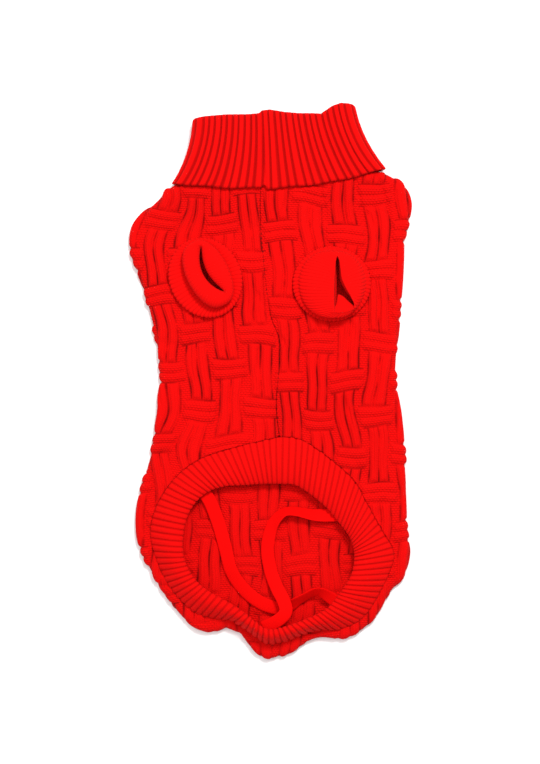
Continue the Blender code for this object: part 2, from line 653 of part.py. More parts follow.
# ---------------------------------------------------------------- straps
def make_strap(name, finish):
    route = smooth(STRAP_ROUTES[name], per_span=2)
    place, lean = route[:, :3], np.radians(route[:, 3])
    along = np.gradient(place, axis=0)
    along /= np.linalg.norm(along, axis=1)[:, None]
    flat = np.column_stack([-along[:, 1], along[:, 0], np.zeros(len(along))])
    flat /= np.linalg.norm(flat, axis=1)[:, None]
    upright = np.cross(along, flat)
    wide = flat * np.cos(lean)[:, None] + upright * np.sin(lean)[:, None]
    thick = np.cross(along, wide)
    corners = ((1, 1), (-1, 1), (-1, -1), (1, -1))
    rings = [place + wide * (a * STRAP_WIDTH / 2.0) + thick * (b * STRAP_THICKNESS / 2.0) for a, b in corners]
    points = np.array(rings).transpose(1, 0, 2)
    count = len(points)
    faces = [[0, 1, 2, 3], [4 * count - 1, 4 * count - 2, 4 * count - 3, 4 * count - 4]]
    for i in range(count - 1):
        for j in range(4):
            k = (j + 1) % 4
            faces.append([4 * i + j, 4 * i + 4 + j, 4 * i + 4 + k, 4 * i + k])
    return solid(name, points.reshape(-1, 3), faces, finish)


def main():
    for item in list(bpy.data.objects):
        bpy.data.objects.remove(item, do_unlink=True)
    make_body(material("red_basket_knit", RED, 0.9))
    make_collar(material("red_collar_rib", RED, 0.9))
    make_hem_band(material("red_hem_rib", RED, 0.9))
    for name in SLEEVE_RINGS:
        make_sleeve(name, material("red_" + name, RED, 0.9))
    for name in STRAP_ROUTES:
        make_strap(name, material("red_" + name, STRAP_RED, 0.7))


if __name__ == "__main__":
    main()
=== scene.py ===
"""Looks of a knitted dog sweater that lies flat with its belly up.

Sizes are millimetres until mesh_piece() turns them into metres. +Y runs from the tail to the collar, +X
across the belly and +Z up out of the surface that the sweater lies on.
"""

import math

import bmesh
import bpy
import numpy as np
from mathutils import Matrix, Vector
from mathutils.geometry import delaunay_2d_cdt


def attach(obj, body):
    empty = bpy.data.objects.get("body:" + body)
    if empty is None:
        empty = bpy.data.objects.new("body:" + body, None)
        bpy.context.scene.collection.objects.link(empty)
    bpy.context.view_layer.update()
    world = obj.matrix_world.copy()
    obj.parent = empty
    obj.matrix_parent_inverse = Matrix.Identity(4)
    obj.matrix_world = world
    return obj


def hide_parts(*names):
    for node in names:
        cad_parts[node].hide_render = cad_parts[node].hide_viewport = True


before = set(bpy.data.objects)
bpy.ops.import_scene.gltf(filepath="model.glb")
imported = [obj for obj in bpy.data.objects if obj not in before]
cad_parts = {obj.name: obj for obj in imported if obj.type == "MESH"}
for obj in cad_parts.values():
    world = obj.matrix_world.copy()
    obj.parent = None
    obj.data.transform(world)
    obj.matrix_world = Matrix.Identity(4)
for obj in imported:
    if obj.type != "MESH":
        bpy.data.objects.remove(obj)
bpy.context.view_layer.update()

# ---- driving sizes, millimetres
METRES = 0.001
WALL = 2.5  # knitted cloth, without its relief
SEAM_GAP = 0.3  # between pieces that are sewn together
BODY_HOLLOW = 2.4  # between the back layer and the belly layer
NECK_HOLLOW = 5  # inside the collar
RELIEF = 2  # basket blocks above their ground
BACK_RELIEF = 1.1  # the same on the outside of the back layer
INSIDE_RELIEF = 1.6  # and on its inner face
COLLAR_RIB = 2.1  # height of the collar's ribs
HEM_RIB = 1.4  # of the hem ring's
SLEEVE_RIB = 0.6  # and of the sleeves'

COLLAR_TOP = (2.9, 204.6)  # middle of the top fold
COLLAR_TURN = math.radians(4.5)
COLLAR_TOP_HALF = 61.3  # half width at the top fold
COLLAR_LIP_HALF = 80.8  # half width at the flap's lower edge
COLLAR_LIP_DEPTH = 58  # from the fold to that edge in the middle
COLLAR_LIP_RISE = 8.5  # how much higher the edge is at its ends
COLLAR_FLARE = 1.6  # power that the flap widens by
LIP_FAN = 0.1  # how far its ribs are drawn apart at that edge
TURN_OVER = 0.4  # between the flap and the tube
NECK_SEAM_RISE = 6  # the neck seam, above the flap's lower edge
NECK_HALF = 61
COLLAR_RIBS = 24  # across the front, and again across the back
COLLAR_SEAM = -10.5  # where the collar's own join runs, across
SIDE_RIBS = 4  # round each of its folded sides
# how far the top fold wanders up and down: across, up
COLLAR_TOP_WAVE = (
    (-70, 0.2), (-61, 0.2), (-52, 0.8), (-36, 0.9), (-19, -0.3), (-11.2, -0.1), (-9.2, 1.7), (-3, 2),
    (8, -0.7), (19, -2.5), (30, -3.4), (35.4, -4.2), (39, -2), (44.5, 1.1), (51, 2.8), (58.7, 1.8), (64, 0.4),
    (70, 0.2),
)

# the basket weave's columns of blocks
COLUMN_PITCH = 23.3
COLUMN_START = 11.6  # from the seam to the middle of the first column
BLOCK_PERIOD = 56.5  # from one crosswise block to the next in a column
UPRIGHT_HALF = 7.6  # half width of an upright block
RIB_OFFSET = 4.1  # from the column's middle to a rib's
RIB_HALF = 3.5
CROSS_HALF = 13.6  # half width of a crosswise block
CROSS_SPAN = 7.2  # and its half height
BAND_OFFSET = 3.4
BAND_HALF = 3.4
# a crosswise block's place in even and odd columns, left and right of the seam
CROSS_START = (-20.5, 9), (0.5, -27)
BACK_SHIFT = COLUMN_START + 10 * COLUMN_PITCH  # the back has no seam, so its columns run right across
# waves that the knit wanders by, across and along: size, length over x and over y, start
ACROSS_WAVES = ((1.7, 29, 19, 0), (0.6, -17, 8.5, 2), (0.4, 7.6, 5.4, 1))
ALONG_WAVES = ((1.3, 17, 31, 0), (0.9, 6.4, -23, 1))

STITCH_WIDE = 2.6
STITCH_TALL = 1.7

# the body round its silhouette, x, y
BODY_EDGE = (
    (-69, 151), (-77, 146.5), (-85.2, 138), (-95.4, 128.8), (-103.8, 118.6), (-106, 108), (-105.2, 98.4),
    (-100.1, 84), (-94, 64), (-86.5, 32), (-82.6, 2.4), (-85, -16), (-87.4, -42), (-93.5, -66.6),
    (-99.6, -90.4), (-101, -108.3), (-97.7, -127.3), (-88.9, -146.5), (-77.7, -164.2), (-66.8, -178.5),
    (-55.3, -187.6), (-44.1, -190), (-33, -187), (-22.5, -191.4), (-16, -200), (-4.4, -209.6), (8.2, -208.8),
    (19.5, -203.6), (29, -196.5), (39.5, -193.6), (54.6, -195.2), (66.5, -190.6), (78.4, -180.8),
    (86, -168.5), (93.5, -157), (101.6, -146.3), (105.6, -129.2), (103.6, -112), (101.8, -84), (102.2, -55.9),
    (99, -28), (95.4, -2), (96.2, 24), (98.6, 60), (100.6, 92), (101.4, 108), (105.2, 123), (106, 137),
    (101.5, 148.8), (90.6, 156.7), (79, 160.8),
)
BELLY_SEAM = (
    (-6, 160), (-7.5, 131), (-5, 92), (0, 52.5), (7.5, 28), (4.8, -16), (7.2, -43.5),
)
# the hem ring round its outer edge: outer x, y, inner x, y, height of the inner edge
HEM_SECTIONS = (
    (7, -42, 7, -76, 10), (21, -43, 19, -77, 10), (36, -51, 31, -84, 10), (50, -62, 43, -94, 10.5),
    (64, -75, 53, -106, 11), (73, -91, 60, -115, 11.5), (83, -109, 64, -124, 12), (94, -129, 65, -134, 12.5),
    (91, -144, 63, -145, 13), (84, -159, 57, -156, 14), (75, -174, 51, -164, 15), (65, -183, 45, -171, 16),
    (51, -188, 37, -176, 17), (38, -188, 28, -180, 18), (25, -191, 18, -184, 19), (12, -196, 8, -187, 19.5),
    (-2, -198, -2, -188, 19.5), (-13, -191, -11, -183, 19), (-28, -181, -21, -175, 18),
    (-43, -179, -33, -167, 17), (-58, -174, -46, -160, 16), (-71, -162, -56, -152, 15),
    (-81, -147, -63, -142, 14.5), (-88, -130, -67, -130, 14), (-91, -113, -67, -116, 13.5),
    (-87, -96, -64, -102, 13), (-78, -80, -57, -90, 12), (-66, -67, -47, -82, 11), (-50, -57, -35, -78, 10.5),
    (-32, -51, -20, -77, 10), (-12, -46, -6, -76, 10),
)
HEM_RIBS = 102
HEM_ARCH = 3  # how far its middle bulges up

# sleeves, a row for each ring of the wall from the leg hole up the outside, over the cuff and back down:
# height, half length, half width, x, y, taper, rib height, bow of the length, share of the mouth, or less of
# them where the last ones are 0
SLEEVE_RINGS = {
    "sleeve_left": (
        (5.2, 29.6, 25.8, -49, 79), (9.6, 29.6, 25.8, -49, 79, 0, 0.4), (11.4, 30.6, 26.8, -49, 79, 0, 1),
        (13, 29.8, 25.6, -48.8, 79.2, 0, 1), (13.6, 27.6, 21.4, -47.8, 79.8, 0, 1),
        (13.2, 25.2, 14.8, -46.8, 81, 0, 0.5), (14.6, 25.2, 14.4, -46.8, 81.4),
        (17.6, 26.6, 15.8, -46.8, 81.6), (20.8, 26.4, 15.3, -46.4, 81.8, 0, 0, 1),
        (22.9, 24.2, 12.2, -45.4, 82.6, 0, 0, 2.6), (23.1, 21.4, 7.4, -43.8, 84, 0.1, 0, 4.6),
        (21.8, 19.2, 3.2, -43.6, 84.8, 0.15, 0, 5.8), (19.2, 18.4, 1.7, -43.6, 85, 0.2, 0, 6),
        (16, 19.6, 3.6, -44, 84.2, 0.1, 0, 4.4), (12.6, 22.4, 10, -44.8, 81.4, 0, 0, 1),
        (10, 27.2, 23.2, -49, 79), (5.2, 27.2, 23.2, -49, 79),
    ),
    "sleeve_right": (
        (5.2, 27.4, 28.6, 46.8, 74.4), (9.6, 27.4, 28.6, 46.8, 74.4, 0, 0.3),
        (11.2, 28, 29.2, 46.8, 74.4, 0, 0.9), (12.6, 27, 28, 46.8, 74.6, 0, 0.9),
        (13.8, 25.2, 25.4, 47, 74.8, 0, 0.7), (16.4, 25.2, 23.8, 47.2, 73.8, 0, 0.5),
        (19.6, 25, 20.2, 48.8, 73.2, 0, 0.45, 0, 0.08), (21.6, 23.2, 14.4, 51.4, 73.2, 0.15, 0.3, 0, 0.4),
        (22.5, 21.8, 9.8, 53, 73.4, 0.35, 0.1, 0, 0.8), (21.9, 21, 7.4, 54.2, 73.6, 0.6, 0, 0, 1),
        (19.6, 20, 6.4, 54, 74, 0.5, 0, 0, 1.4), (16.8, 18.6, 6.4, 53.6, 75, 0.4, 0, 0, 2),
        (13.4, 20.6, 12, 51, 75, 0.1, 0, 0, 1), (10, 25, 26, 46.8, 74.4), (5.2, 24.8, 26, 46.8, 74.4),
    ),
}
SLEEVE_RINGS = {name: [row + (0,) * (9 - len(row)) for row in rows] for name, rows in SLEEVE_RINGS.items()}
SLEEVE_TURN = {"sleeve_left": math.radians(117), "sleeve_right": math.radians(90)}
SLEEVE_RIBS = {"sleeve_left": 56, "sleeve_right": 58}
SLEEVE_GAP = SEAM_GAP + 0.15  # between a leg hole's edge and its sleeve
# mouth of the right sleeve, from its far point down the straight left side and back up
RIGHT_MOUTH = (
    (50.3, 94.6), (49.2, 90), (48.7, 80), (48.4, 71), (48.3, 62), (48.6, 54.6), (50.4, 52.2), (56, 53.2),
    (63.4, 55.4), (64.6, 57.2), (61, 64), (56.6, 71.6), (53.9, 78), (52.9, 85), (51.9, 92),
)
# the same mouth seven millimetres further down, where its near left corner closes up
RIGHT_THROAT = (
    (50.4, 94), (49.5, 90), (49.1, 84), (48.9, 77), (48.8, 70), (48.8, 62), (49.1, 57.2), (50, 57.6),
    (50.6, 62), (51.6, 66.2), (55.6, 64.6), (60, 60.4), (64.2, 57.4), (62.4, 62.4), (57.8, 70), (54.6, 77),
    (53.4, 84.5), (52.2, 91.5),
)
# x, y, height and lean in degrees
STRAP_ROUTES = {
    "strap_left": (
        (-58, -73, 8.35, 0), (-50, -84, 7.9, 0), (-45, -92, 7.2, 0), (-39, -108, 5.9, 4), (-34, -126, 5.8, 8),
        (-29.5, -143.5, 5.8, 14), (-20.5, -157, 5.8, 8), (-8.5, -167, 5.6, 0), (3.5, -171.5, 5.6, 0),
        (13.5, -170.5, 6.6, 18), (23, -165, 9.8, 47), (35.5, -159, 11.6, 46), (45, -163, 11.3, 26),
        (54, -170, 11.6, 6),
    ),
    "strap_right": (
        (59, -100, 9.4, 0), (47.5, -101, 8.2, 4), (33, -101, 7.4, 34), (21, -98.6, 8.2, 50),
        (11.5, -98.6, 8.4, 52), (4.2, -104.8, 7.6, 38), (0, -114, 6.6, 22), (-2, -128, 6, 12),
        (0.5, -143.5, 6.2, 6), (5.2, -156, 9.4, 0), (10.2, -165.5, 12.9, -2), (12, -173.5, 14.6, -6),
        (6.5, -180, 15, -8), (-5.5, -186.4, 13.8, -4),
    ),
}
STRAP_WIDTH = 10
STRAP_THICKNESS = 1.2

# where the knit leans: x, y, lean of its ribs, reach
LEANS = (
    (-76, 122, 0.5, 26), (84, 126, -0.26, 28), (-66, -38, 0.48, 24), (60, -30, -0.2, 24), (24, 84, 0.12, 26),
    (-18, 118, -0.1, 20), (30, -10, 0.08, 26), (86, -98, -0.14, 24), (-40, 10, -0.08, 24), (4, 34, 0.18, 20),
    (60, 140, -0.16, 22), (-84, 60, -0.14, 26),
)
# soft creases in the belly layer: from x, y, to x, y, depth, half width
CREASES = (
    (-35, 149, -36, 130, 1.5, 1.5), (-25, 142, -23, 111, 1.2, 1.4), (-4, 143, -11, 113, 1.8, 1.6),
    (12, 149, 10, 127, 1.3, 1.5), (16, 123, 20, 105, 1, 1.4), (37, 149, 44, 117, 1.8, 1.6),
    (53, 152, 59, 116, 1.5, 1.5), (64, 154, 74, 105, 1.8, 1.7), (74, 129, 86, 98, 1.4, 1.5),
    (81, 157, 94, 114, 1.9, 1.8), (-55, 141, -62, 114, 1.3, 1.6), (-70, 132, -79, 95, 1.3, 1.8),
    (-20, 86, -17, 52, 1.2, 1.5), (-9, 68, -8, 45, 1.3, 1.5), (1, 44, 17, 18, 1.7, 1.7),
    (72, 71, 74, 39, 1, 1.5), (82, 78, 82, 37, 1.2, 1.5), (47, 44, 48, 14, 1.1, 1.4),
    (55, 45, 55, 10, 1.4, 1.5), (63, 46, 63, 12, 1, 1.4), (25, 22, 25, -21, 1.5, 1.5),
    (-68, 25, -67, -7, 1, 1.4), (-62, 33, -59, -6, 1.3, 1.5), (-22, 24, -20, -8, 0.9, 1.4),
    (-9, 26, -13, -8, 1.5, 1.6), (-46, -6, -49, -37, 1.1, 1.4), (-38, 1, -42, -37, 1.5, 1.6),
    (48, -10, 54, -39, 1.2, 1.5), (56, -12, 63, -41, 1.5, 1.5), (77, -35, 78, -72, 1.3, 1.5),
    (85, -34, 86, -74, 1.4, 1.5), (-10, 66, 10, 36, 0.8, 3.4), (-84, 30, -60, 24, 0.8, 3.2),
    (-70, -44, -88, -60, 1.2, 3), (62, -58, 78, -80, 1, 3), (86, -88, 80, -108, 1.2, 2.6),
    (72, 34, 94, 30, 0.7, 3), (-92, -70, -84, -104, 1.2, 2.4),
)
# soft creases in the back layer, the same
BACK_CREASES = (
    (-70, 128, -30, 96, 1, 5), (64, 132, 30, 92, 0.9, 5), (-88, 40, -40, 30, 0.8, 4.5),
    (90, 10, 44, 22, 0.9, 4.5), (-20, -30, 22, -44, 0.7, 4.5), (-92, -90, -60, -76, 0.8, 4),
    (96, -100, 66, -84, 0.9, 4), (-30, -160, -34, -186, 0.8, 4), (26, -170, 30, -194, 0.8, 4),
)

PANEL_PITCH = 1.1  # spacing of the belly's points
BACK_PITCH = 1.9  # of the underside's
INSIDE_PITCH = 1.5  # of the inner face's that show through the hem ring
PLAIN_PITCH = 9.0  # and of those that don't
EDGE_STEP = 1.5
RIB_POINTS = 10  # round a rib of the collar or hem ring
SLEEVE_RIB_POINTS = 8
FOLD_ANGLES = np.linspace(90, -90, 11)
INNER_FOLD_ANGLES = (90, 45, 0, -45, -90)

# ---- colours
KNIT_RED = (0.66, 0.0017, 0.0014)
# dark red painted in as shade: in the knit's grooves and in the low parts of its stitches and cords
GROOVE_SHADE_RED = (0.14, 0.0002, 0.0002)
STRAP_RED = (0.72, 0.0009, 0.0007)


# ---- curves
def smooth(points, closed=False, per_span=12):
    """Catmull-Rom curve through the rows of points: a cubic of each four rows in turn."""
    p = np.asarray(points, float)
    if closed:
        p = np.concatenate([p[-1:], p, p[:2]])
    else:
        p = np.concatenate([2 * p[:1] - p[1:2], p, 2 * p[-1:] - p[-2:-1]])
    t = np.linspace(0, 1, per_span, endpoint=False).reshape((-1,) + (1,) * (p.ndim - 1))
    spans = [0.5 * (2 * b + (c - a) * t + (2 * a - 5 * b + 4 * c - d) * t**2 + (3 * b - a - 3 * c + d) * t**3)
             for a, b, c, d in zip(p[:-3], p[1:-2], p[2:-1], p[3:])]
    if not closed:
        spans.append(p[-2][None])
    return np.concatenate(spans)


def run_along(line):
    """Distance of each point of a line from its first, along the line."""
    return np.concatenate([[0], np.cumsum(np.linalg.norm(np.diff(line, axis=0), axis=1))])


def spaced(curve, count, closed=False):
    """The curve read again at equal distances in plan."""
    if closed:
        curve = np.vstack([curve, curve[0]])
    run = run_along(curve[:, :2])
    at = np.linspace(0, run[-1], count, endpoint=not closed)
    return np.column_stack([np.interp(at, run, column) for column in curve.T])


def loop_through(points, count):
    """Points at equal distances round the closed curve through some points."""
    return spaced(smooth(points, closed=True), count, closed=True)


def unit(rows):
    return rows / np.linalg.norm(rows, axis=1)[:, None]


def left_of(along):
    """Unit normals to the left of plan directions: each direction turned by a quarter."""
    along = unit(along)
    return np.column_stack([-along[:, 1], along[:, 0]])


def turned(x, y, angle):
    """A plan place turned about the origin."""
    cos, sin = math.cos(angle), math.sin(angle)
    return x * cos - y * sin, x * sin + y * cos


def ease(t):
    """Smooth step from 0 to 1: 3 t squared less 2 t cubed."""
    t = np.clip(t, 0, 1)
    return t * t * (3 - 2 * t)


def in_parts(work, points, size=3000):
    """The work done on the points a few thousand at a time."""
    return np.concatenate([work(points[i:i + size]) for i in range(0, len(points), size)])


def inside(points, loop):
    """Which points lie inside a closed plan loop, by counting the edges to their right."""
    (x0, y0), (x1, y1) = loop[:, :2].T, np.roll(loop[:, :2], -1, axis=0).T
    slope = (x1 - x0) / np.where(y1 == y0, 1e-12, y1 - y0)

    def some(part):
        x, y = part[:, :1], part[:, 1:2]
        return (((y0 > y) != (y1 > y)) & (x < x0 + (y - y0) * slope)).sum(axis=1) % 2 == 1
    return in_parts(some, points)


def distance_to(points, loop):
    """Shortest distance from each point to the segments of a closed plan loop."""
    a = loop[:, :2]
    ab = np.roll(a, -1, axis=0) - a
    size = np.maximum((ab * ab).sum(-1), 1e-9)

    def some(part):
        ap = part[:, None, :2] - a
        t = np.clip((ap * ab).sum(-1) / size, 0, 1)
        return np.sqrt(((ap - ab * t[..., None]) ** 2).sum(-1)).min(axis=1)
    return in_parts(some, points, 1500)


# ---- collar frame
def to_collar(x, y):
    """Plan place seen from the middle of the collar's fold: a shift, then a turn."""
    return turned(x - COLLAR_TOP[0], y - COLLAR_TOP[1], -COLLAR_TURN)


def from_collar(across, up):
    x, y = turned(across, up, COLLAR_TURN)
    return x + COLLAR_TOP[0], y + COLLAR_TOP[1]


def lip_line(across):
    """The flap's lower edge in the collar's frame: a parabola, higher at its ends."""
    return -COLLAR_LIP_DEPTH + COLLAR_LIP_RISE * (across / COLLAR_LIP_HALF) ** 2


def neck_seam(across):
    """The collar seam, at a place across it."""
    return from_collar(across, lip_line(across) + NECK_SEAM_RISE)


def under_flap(x, y):
    """How far a plan place lies above the flap's lower edge."""
    across, up = to_collar(x, y)
    return up - lip_line(across)


# ---- heights of the cloth layers
NECK_FLOOR = WALL + TURN_OVER
BELLY_FLOOR = WALL + BODY_HOLLOW
NECK_BELLY_FLOOR = NECK_FLOOR + WALL + NECK_HOLLOW
COLLAR_MIDDLE = NECK_FLOOR + WALL + NECK_HOLLOW / 2


def back_height(x, y):
    """Lowest face of the back layer: on the surface, and lifted where it runs over the flap."""
    return NECK_FLOOR * ease((under_flap(x, y) + 26) / 24)


def belly_height(x, y):
    """Underside of the belly layer, which rises to the collar's upper wall."""
    return BELLY_FLOOR + (NECK_BELLY_FLOOR - BELLY_FLOOR) * ease((under_flap(x, y) + 34) / 38)


def fold_radius(x, y):
    """Outer radius of the folded side, half the height of both layers."""
    return (belly_height(x, y) + WALL - back_height(x, y)) / 2


def seam_x(y):
    """The belly seam's x at a height down the belly, read between its points."""
    across, up = np.array(BELLY_SEAM[::-1]).T
    return np.interp(y, up, across)


def seam_open(y):
    """How far the belly seam gapes at a height down the belly, 0 where it is drawn tight."""
    return np.interp(y, (-44, -36, -12, 0, 24, 34, 46, 58, 112, 124, 140, 150),
                     (1.2, 1.3, 1, 0.1, 0.1, 0.9, 0.9, 0, 0, 0.7, 0.7, 0.2))


def troughs(x, y, creases):
    """Depth of soft creases: a bell across each line, which wavers by a sine, faded towards its two ends."""
    depth = np.zeros_like(x)
    for x0, y0, x1, y1, deep, half in creases:
        ax, ay = x1 - x0, y1 - y0
        t = ((x - x0) * ax + (y - y0) * ay) / (ax * ax + ay * ay)
        off = ((x - x0) * ay - (y - y0) * ax) / math.hypot(ax, ay)
        fade = ease((t + 0.12) / 0.2) * ease((1.12 - t) / 0.5)
        depth += deep * np.exp(-((off + 0.8 * np.sin(t * 4)) / half) ** 2) * fade
    return depth


def knit_place(x, y, back=False):
    """Place in the knit itself: plan place, pulled over where the ribs lean and wander.

    Across is x less the seam's x, which fades away from it, and less each lean times its height within a
    bell of its reach. Along is y, turned by a part of the same lean."""
    p, q = (here + sum(size * np.sin(x / far + y / up + start) for size, far, up, start in waves)
            for here, waves in ((x, ACROSS_WAVES), (y, ALONG_WAVES)))
    if back:
        return p + BACK_SHIFT, q
    p = p - seam_x(y) * np.exp(-np.abs(x) / 40)
    for x0, y0, lean, reach in LEANS:
        bell = np.exp(-((x - x0) ** 2 + (y - y0) ** 2) / reach**2)
        p = p - lean * (y - y0) * bell
        q = q + 0.35 * lean * (x - x0) * bell
    return p, q


def places_of(line, back=False):
    """Knit places of the points of a line, as rows."""
    return np.column_stack(knit_place(line[:, 0], line[:, 1], back))


def bump(offset, half):
    """Rounded ridge: the root of 1 less the square of the offset over its half width."""
    return np.sqrt(np.clip(1 - (offset / half) ** 2, 0, None))


def basket(p, q):
    """Relief of the basket weave, 0 on the ground to 1: upright pairs of ribs, and between them crosswise
    pairs of bands, each a rounded ridge that ends where the next block begins."""
    run = (np.abs(p) - COLUMN_START) / COLUMN_PITCH
    relief = np.zeros_like(run)
    for step in (-1, 0, 1):
        column = np.floor(run + 0.5) + step
        dx = (run - column) * COLUMN_PITCH
        odd = np.mod(column, 2) > 0.5
        start = np.where(p < 0, *(np.where(odd, second, first) for first, second in CROSS_START))
        dy = np.mod(q - start + BLOCK_PERIOD / 2, BLOCK_PERIOD) - BLOCK_PERIOD / 2
        away = np.abs(dy) - CROSS_SPAN
        ribs = bump(np.abs(dx) - RIB_OFFSET, RIB_HALF)
        upright = ribs * ease((away - 0.2) / 2.6) * (0.86 + 0.14 * ease(away / 12))
        bands = bump(np.abs(dy) - BAND_OFFSET, BAND_HALF)
        across = 0.96 * bands * ease((CROSS_HALF - np.abs(dx)) / 1.8)
        relief = np.maximum(relief, np.where(column >= 0, np.maximum(upright, across), 0))
    return relief


def belly_relief(x, y):
    """How far the belly's face stands above its plain wall: basket blocks, less creases, all faded out
    under the flap, and rolled down at the belly seam."""
    faded = ease(-(under_flap(x, y) + 0.3) / 2.8)
    roll = 0.9 * seam_open(y) * np.exp(-((x - seam_x(y)) / 1.6) ** 2)
    quiet = 1 - 0.55 * ease((-138 - y) / 34)
    return (RELIEF * quiet * basket(*knit_place(x, y)) - troughs(x, y, CREASES)) * faded - roll


def belly_top(x, y):
    return belly_height(x, y) + WALL + np.maximum(belly_relief(x, y), -1.1)


def back_outside(x, y):
    """Underside of the sweater: its blocks rest on the surface and its ground lies above it."""
    hollow = BACK_RELIEF * (1 - basket(*knit_place(x, y, True))) + 0.5 * troughs(x, y, BACK_CREASES)
    return back_height(x, y) + hollow * ease(-(under_flap(x, y) + 20) / 14)


def back_inside(x, y):
    """Inner face of the back layer, with the blocks showing through."""
    raised = INSIDE_RELIEF * basket(*knit_place(x, y, True)) + 0.4 * troughs(x, y, BACK_CREASES)
    return back_height(x, y) + WALL + raised * ease(-(under_flap(x, y) + 30) / 14)


def with_height(plan, height):
    return np.column_stack([plan, height(plan[:, 0], plan[:, 1])])


# ---- meshes
def placed(name, data):
    item = bpy.data.objects.new(name, data)
    bpy.context.scene.collection.objects.link(item)
    return item


def mesh_piece(name, points, faces, corner_places, node, finish, slot):
    """A finished piece from points in millimetres, its faces and the knit place of each face corner.

    It rides with the sweater and stands for its solid."""
    mesh = bpy.data.meshes.new(name)
    mesh.from_pydata((np.asarray(points) * METRES).tolist(), [], [list(f) for f in faces])
    knit = mesh.uv_layers.new(name="knit")
    knit.data.foreach_set("uv", np.asarray(corner_places, np.float32).ravel())
    skin = bmesh.new()
    skin.from_mesh(mesh)
    bmesh.ops.recalc_face_normals(skin, faces=skin.faces)
    skin.to_mesh(mesh)
    skin.free()
    mesh.shade_smooth()
    mesh.materials.append(finish)
    piece = placed(name, mesh)
    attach(piece, "root")
    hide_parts(node)
    return piece


def quads_round(lines, around):
    """Corners of the faces between lines of points round a piece, the last line joined to the first."""
    number = np.arange(lines * around).reshape(lines, around)
    nearby = np.roll(number, -1, 1)
    return np.stack([number, nearby, np.roll(nearby, -1, 0), np.roll(number, -1, 0)], axis=-1)


def ring_piece(name, rings, ribs, node, finish):
    """A closed wall from closed rings: rings[i, j] is point j round the piece on line i of its wall.

    Its knit places are the ribs counted round it, one longer than a ring, and the run down its wall."""
    lines, around = rings.shape[:2]
    step = np.linalg.norm(np.diff(np.concatenate([rings, rings[:1]]), axis=0), axis=2)
    run = np.concatenate([np.zeros((1, around)), np.cumsum(step, axis=0)])
    run = np.column_stack([run, run[:, :1]])
    uv = np.stack([np.broadcast_to(ribs, run.shape), run], axis=-1)
    corner_places = np.stack([uv[:-1, :-1], uv[:-1, 1:], uv[1:, 1:], uv[1:, :-1]], axis=2)
    return mesh_piece(name, rings.reshape(-1, 3), quads_round(lines, around).reshape(-1, 4), corner_places,
                      node, finish, "red_knit")


def rib_ridge(count):
    """Height of a rounded rib at a count of ribs: 1 on its crown, falling as a power to its narrow groove."""
    off = np.abs(2 * np.mod(count, 1) - 1)
    return np.clip(1 - off**2.2, 0, None) ** 0.9


class Shell:
    """Patches and strips that share their edge points, gathered and then joined into one closed skin."""

    def __init__(self):
        self.points, self.faces, self.places, self.total = [], [], [], 0

    def add(self, points, triangles, places):
        self.points.append(points)
        self.faces.append(triangles + self.total)
        self.places.append(places[triangles])
        self.total += len(points)

    def strip(self, first, second, first_place, second_place):
        """Two triangles between each pair of steps along two lines with the same number of points."""
        count = len(first)
        a = np.arange(count - 1)
        triangles = np.concatenate([np.column_stack([a, a + 1, a + 1 + count]),
                                    np.column_stack([a, a + 1 + count, a + count])])
        self.add(np.vstack([first, second]), triangles, np.vstack([first_place, second_place]))

    def wall(self, upper, lower, place):
        self.strip(upper, lower, place, place)

    def patch(self, loop, holes, fill, height, back, hole_test):
        """Triangles over a plan region with holes: the loops have their heights, and height(x, y) places
        the points between them."""
        loops = [loop] + holes
        plan = np.vstack([each[:, :2] for each in loops] + [fill])
        space = np.vstack(loops + [with_height(fill, height)])
        edges, start = [], 0
        for each in loops:
            n = len(each)
            edges += [(start + i, start + (i + 1) % n) for i in range(n)]
            start += n
        result = delaunay_2d_cdt([Vector(p) for p in plan.tolist()], edges, [], 0, 1e-6, True)
        source = np.array([ids[0] for ids in result[3]])
        triangles = source[np.array(result[2])]
        middle = plan[triangles].mean(axis=1)
        keep = inside(middle, loop) & ~hole_test(middle)
        self.add(space, triangles[keep], places_of(plan, back))

    def joined(self):
        """All points, with those at one place made one, and the faces and places that are left."""
        points, faces = np.vstack(self.points), np.vstack(self.faces)
        places = np.concatenate(self.places)
        _, first, same = np.unique(np.round(points, 3), axis=0, return_index=True, return_inverse=True)
        faces = same.reshape(-1)[faces]
        whole = (faces != np.roll(faces, 1, axis=1)).all(axis=1)
        return points[first], faces[whole], places[whole]


# ---- body
def body_edge():
    """Silhouette of the body, from the left end of the collar seam round the tail to the right end."""
    ends = (neck_seam(-NECK_HALF),), (neck_seam(NECK_HALF),)
    line = smooth(ends[0] + BODY_EDGE + ends[1])
    return spaced(line, int(run_along(line)[-1] / EDGE_STEP))


def neck_line(start, end, count):
    """Points along the collar seam between two plan places, without the ends."""
    across = np.linspace(to_collar(*start)[0], to_collar(*end)[0], count + 2)[1:-1]
    return np.column_stack(neck_seam(across))


def hem_outline(grow, count):
    """The hem ring's outer edge in plan, moved out by grow."""
    edge = loop_through(np.array(HEM_SECTIONS)[:, :2], count)
    return edge + grow * left_of(np.roll(edge, -1, axis=0) - np.roll(edge, 1, axis=0))


def sleeve_ellipse(name, row, angle, grow=0):
    """One ring of a sleeve: an ellipse, narrowed by its taper, bowed, and drawn towards the mouth's shape."""
    height, half_long, half_wide, x, y, taper, _, bow, mouth_share = row
    cos, sin = np.cos(angle), np.sin(angle)
    full = 1 - 0.22 * ease((height - 12) / 4) * ease((half_wide - 4) / 8)
    side = np.sign(sin) * np.abs(sin) ** full
    across = (half_wide + grow) * side * (1 - taper * cos) + bow * sin**2
    plan = np.column_stack(turned((half_long + grow) * cos, across, SLEEVE_TURN[name])) + (x, y)
    if mouth_share:
        mouth, throat = (loop_through(loop, len(angle)) for loop in (RIGHT_MOUTH, RIGHT_THROAT))
        plan += (mouth - plan) * min(mouth_share, 1) + (throat - mouth) * max(mouth_share - 1, 0)
    return plan


